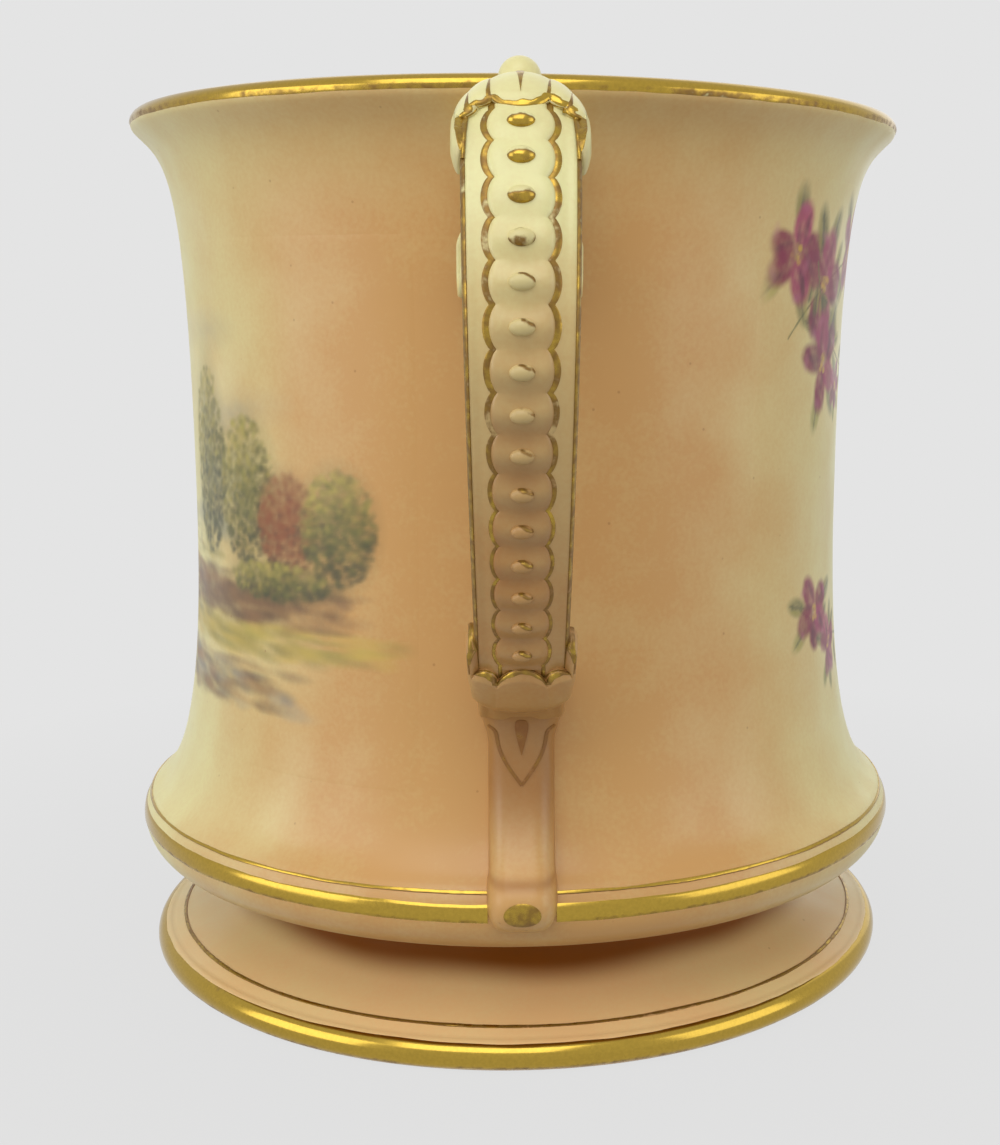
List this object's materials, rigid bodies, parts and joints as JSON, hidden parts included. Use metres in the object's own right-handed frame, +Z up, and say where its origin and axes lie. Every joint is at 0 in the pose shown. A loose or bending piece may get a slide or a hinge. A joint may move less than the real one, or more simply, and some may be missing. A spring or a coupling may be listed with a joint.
{
  "type": "loving cup",
  "caption": "Waisted ivory porcelain loving cup on a spreading foot, with beaded strap handles, leaf cuffs and gilt edges; drunk from and passed by hand.",
  "frame": {"origin": "on the table under the centre of the foot ring", "axes": "+Z up, the cup's axis; the front handle points along -Y and the back handle along +Y"},
  "size_m": [0.1346, 0.1916, 0.1453],
  "materials": {
    "ivory_porcelain": "soft glaze",
    "blush_porcelain": "soft glaze with an apricot ground",
    "gilding": "burnished, worn"
  },
  "bodies": {
    "root": {"cup_body": "ivory_porcelain", "foot": "blush_porcelain", "rim_gilding": "gilding", "shoulder_gilt_line": "gilding", "shoulder_gilt_band": "gilding", "foot_gilt_line": "gilding", "foot_gilt_band": "gilding", "front_handle_strap": "ivory_porcelain", "front_scalloped_panel": "ivory_porcelain", "front_beads": "gilding", "front_panel_gilding": "gilding", "front_edge_gilding": "gilding", "front_upper_cuff": "ivory_porcelain", "front_lower_cuff": "ivory_porcelain", "front_cuff_gilding": "gilding", "front_rim_knob": "ivory_porcelain", "front_scroll": "blush_porcelain", "front_tail": "blush_porcelain", "front_tail_gilding": "gilding", "back_handle_strap": "ivory_porcelain", "back_scalloped_panel": "ivory_porcelain", "back_beads": "gilding", "back_panel_gilding": "gilding", "back_edge_gilding": "gilding", "back_upper_cuff": "ivory_porcelain", "back_lower_cuff": "ivory_porcelain", "back_cuff_gilding": "gilding", "back_rim_knob": "ivory_porcelain", "back_scroll": "blush_porcelain", "back_tail": "blush_porcelain", "back_tail_gilding": "gilding"}
  },
  "joints": []
}
